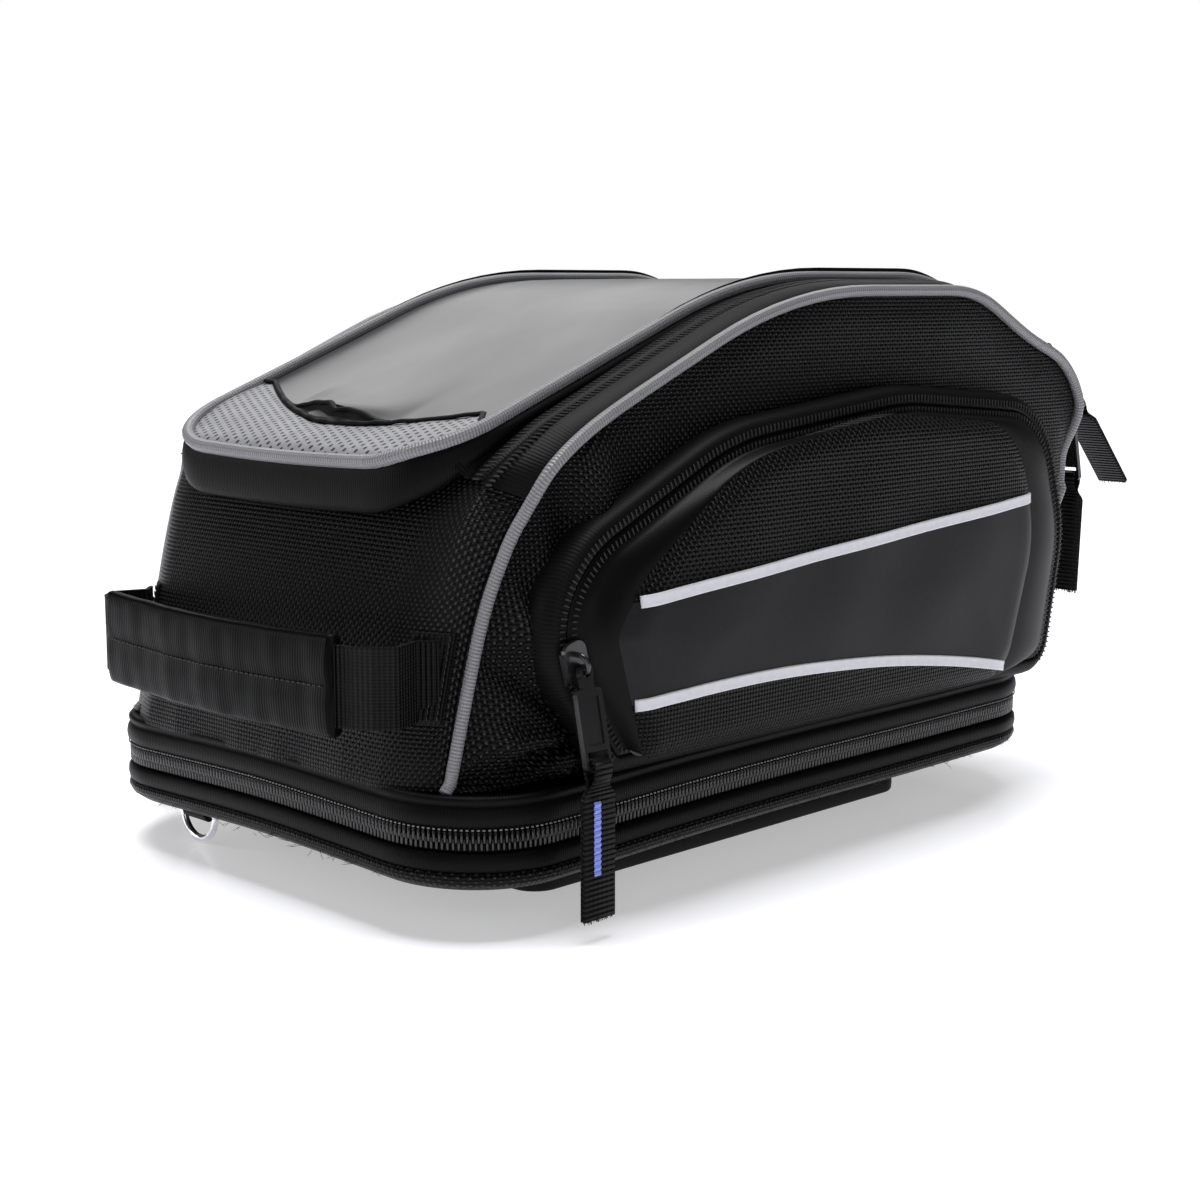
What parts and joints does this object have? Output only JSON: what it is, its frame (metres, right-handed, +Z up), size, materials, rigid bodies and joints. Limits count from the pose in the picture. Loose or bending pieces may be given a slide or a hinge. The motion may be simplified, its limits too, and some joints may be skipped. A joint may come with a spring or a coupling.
{
  "type": "motorcycle tank bag",
  "caption": "Wedge-shaped expandable tank bag with a hinged map lid, arched side pockets, carry handle and folded magnet flaps.",
  "frame": {"origin": "middle of the base, on the plane the folded base rests on", "axes": "+Z up, +X from the carry handle end to the high rear end, -Y towards the left pocket"},
  "size_m": [0.4825, 0.2844, 0.2372],
  "materials": {
    "ballistic_nylon": "coarse black woven nylon",
    "ribbon_tape": "smooth black woven tape",
    "zip_coil": "black nylon coil",
    "webbing": "ribbed black webbing",
    "grey_piping": "grey reflective piping",
    "silver_strip": "silver reflective strip",
    "clear_vinyl": "clear flexible vinyl",
    "grey_mesh": "perforated grey fabric",
    "black_binding": "black bias binding",
    "backing": "dark backing cloth",
    "pocket_face": "charcoal smooth panel over mesh",
    "lining": "dark grey lining cloth",
    "foam": "closed-cell foam board",
    "board": "stiff plastic board",
    "pad": "soft rubberised base cloth over padding",
    "black_metal": "black painted zinc",
    "bright_ring": "plated steel wire",
    "magnet": "plated magnet disc"
  },
  "bodies": {
    "base": {"base_pad": "pad", "base_panel": "ballistic_nylon", "base_board": "board", "lower_ribbon": "ribbon_tape", "lower_coil": "zip_coil", "ring_tabs": "webbing"},
    "case": {"upper_ribbon": "ribbon_tape", "upper_coil": "zip_coil", "gusset": "backing", "side_left": "ballistic_nylon", "side_right": "ballistic_nylon", "front_panel": "ballistic_nylon", "rear_panel": "ballistic_nylon", "top_frame": "ballistic_nylon", "lining": "lining", "foam_boards": "foam", "piping_left": "grey_piping", "piping_right": "grey_piping", "webbing_stubs": "webbing", "top_coil": "zip_coil", "handle_patches": "webbing", "pocket_gusset_left": "ballistic_nylon", "pocket_gusset_right": "ballistic_nylon", "pocket_coil_left": "zip_coil", "pocket_coil_right": "zip_coil"},
    "lid": {"lid_border": "ribbon_tape", "lid_piping": "grey_piping", "lid_coil": "zip_coil", "map_window": "clear_vinyl", "mesh_insert": "grey_mesh", "map_backing": "backing", "mouth_binding": "black_binding"},
    "pocket_left": {"pocket_front_left": "pocket_face", "pocket_trim_left": "silver_strip"},
    "pocket_right": {"pocket_front_right": "pocket_face", "pocket_trim_right": "silver_strip"},
    "handle": {"handle_grip": "ribbon_tape", "handle_webbing": "webbing"},
    "zip_slider_lid_a": {"slider_lid_a": "black_metal"},
    "zip_puller_lid_a": {"puller_lid_a": "black_metal"},
    "zip_tab_lid_a": {"tab_lid_a": "webbing"},
    "zip_slider_lid_b": {"slider_lid_b": "black_metal"},
    "zip_puller_lid_b": {"puller_lid_b": "black_metal"},
    "zip_tab_lid_b": {"tab_lid_b": "webbing"},
    "zip_slider_pocket_left": {"slider_pocket_left": "black_metal"},
    "zip_puller_pocket_left": {"puller_pocket_left": "black_metal"},
    "zip_tab_pocket_left": {"tab_pocket_left": "webbing"},
    "zip_slider_pocket_right": {"slider_pocket_right": "black_metal"},
    "zip_puller_pocket_right": {"puller_pocket_right": "black_metal"},
    "zip_tab_pocket_right": {"tab_pocket_right": "webbing"},
    "zip_slider_base": {"slider_base": "black_metal"},
    "zip_puller_base": {"puller_base": "black_metal"},
    "zip_tab_base": {"tab_base": "webbing"},
    "d_ring_front": {"ring_front": "bright_ring"},
    "d_ring_rear": {"ring_rear": "bright_ring"},
    "magnet_flap_left": {"flap_left": "pad", "magnets_left": "magnet"},
    "magnet_flap_right": {"flap_right": "pad", "magnets_right": "magnet"}
  },
  "joints": [
    {"name": "case_expansion", "type": "slide", "parent": "base", "child": "case", "axis": [0, 0, 1], "range_m": [0, 0.04], "deforming": ["gusset"]},
    {"name": "lid_hinge", "type": "hinge", "parent": "case", "child": "lid", "pos_m": [0.2256, 0, 0.168], "axis": [0, 1, 0], "range_deg": [0, 100]},
    {"name": "pocket_hinge_left", "type": "hinge", "parent": "case", "child": "pocket_left", "pos_m": [0, -0.1244, 0.0576], "axis": [1, 0, 0], "range_deg": [0, 55]},
    {"name": "pocket_hinge_right", "type": "hinge", "parent": "case", "child": "pocket_right", "pos_m": [0, 0.1244, 0.0576], "axis": [-1, 0, 0], "range_deg": [0, 55]},
    {"name": "handle_swing", "type": "hinge", "parent": "case", "child": "handle", "pos_m": [-0.187, 0, 0.093], "axis": [0, 1, 0], "range_deg": [-12, 45]},
    {"name": "lid_slider_a_travel", "type": "hinge", "parent": "case", "child": "zip_slider_lid_a", "pos_m": [0.17763, -0.0962, 0.16239], "axis": [0, -1, 0], "range_deg": [0, 20]},
    {"name": "lid_slider_b_travel", "type": "hinge", "parent": "case", "child": "zip_slider_lid_b", "pos_m": [0.17763, -0.0962, 0.16239], "axis": [0, -1, 0], "range_deg": [0, 3]},
    {"name": "lid_puller_a_swing", "type": "hinge", "parent": "zip_slider_lid_a", "child": "zip_puller_lid_a", "pos_m": [0.2123, -0.0962, 0.20089], "axis": [0, -1, 0], "range_deg": [0, 150]},
    {"name": "lid_puller_b_swing", "type": "hinge", "parent": "zip_slider_lid_b", "child": "zip_puller_lid_b", "pos_m": [0.22789, -0.0962, 0.17492], "axis": [0, -1, 0], "range_deg": [0, 30]},
    {"name": "lid_tab_a_swing", "type": "hinge", "parent": "zip_puller_lid_a", "child": "zip_tab_lid_a", "pos_m": [0.23837, -0.0962, 0.17435], "axis": [0, -1, 0], "range_deg": [-20, 60]},
    {"name": "lid_tab_b_swing", "type": "hinge", "parent": "zip_puller_lid_b", "child": "zip_tab_lid_b", "pos_m": [0.23626, -0.0962, 0.13867], "axis": [0, -1, 0], "range_deg": [0, 60]},
    {"name": "pocket_slider_left_travel", "type": "hinge", "parent": "case", "child": "zip_slider_pocket_left", "pos_m": [-0.10505, -0.1241, 0.10858], "axis": [0, 1, 0], "range_deg": [0, 50]},
    {"name": "pocket_puller_left_swing", "type": "hinge", "parent": "zip_slider_pocket_left", "child": "zip_puller_pocket_left", "pos_m": [-0.13693, -0.1309, 0.10004], "axis": [-0.9659, 0, -0.2588], "range_deg": [0, 140]},
    {"name": "pocket_tab_left_swing", "type": "hinge", "parent": "zip_puller_pocket_left", "child": "zip_tab_pocket_left", "pos_m": [-0.13625, -0.13839, 0.06371], "axis": [-1, 0, 0], "range_deg": [0, 60]},
    {"name": "pocket_slider_right_travel", "type": "hinge", "parent": "case", "child": "zip_slider_pocket_right", "pos_m": [-0.10505, 0.1241, 0.10858], "axis": [0, 1, 0], "range_deg": [0, 50]},
    {"name": "pocket_puller_right_swing", "type": "hinge", "parent": "zip_slider_pocket_right", "child": "zip_puller_pocket_right", "pos_m": [-0.13693, 0.1309, 0.10004], "axis": [0.9659, 0, 0.2588], "range_deg": [0, 140]},
    {"name": "pocket_tab_right_swing", "type": "hinge", "parent": "zip_puller_pocket_right", "child": "zip_tab_pocket_right", "pos_m": [-0.13625, 0.13839, 0.06371], "axis": [1, 0, 0], "range_deg": [0, 60]},
    {"name": "base_slider_travel", "type": "slide", "parent": "base", "child": "zip_slider_base", "axis": [0, 1, 0], "range_m": [-0.06, 0.06]},
    {"name": "base_puller_swing", "type": "hinge", "parent": "zip_slider_base", "child": "zip_puller_base", "pos_m": [0.1908, 0, 0.039], "axis": [0, 0, -1], "range_deg": [0, 130]},
    {"name": "base_tab_swing", "type": "hinge", "parent": "zip_puller_base", "child": "zip_tab_base", "pos_m": [0.20352, 0.03496, 0.039], "axis": [0, 0, -1], "range_deg": [0, 45]},
    {"name": "ring_front_swing", "type": "hinge", "parent": "base", "child": "d_ring_front", "pos_m": [-0.166, 0.068, 0.0145], "axis": [0, 1, 0], "range_deg": [-50, 50]},
    {"name": "ring_rear_swing", "type": "hinge", "parent": "base", "child": "d_ring_rear", "pos_m": [0.166, 0.068, 0.0145], "axis": [0, 1, 0], "range_deg": [-50, 50]},
    {"name": "flap_left_fold", "type": "hinge", "parent": "base", "child": "magnet_flap_left", "pos_m": [0, -0.086, 0.009], "axis": [-1, 0, 0], "range_deg": [0, 165]},
    {"name": "flap_right_fold", "type": "hinge", "parent": "base", "child": "magnet_flap_right", "pos_m": [0, 0.086, 0.009], "axis": [1, 0, 0], "range_deg": [0, 165]}
  ]
}
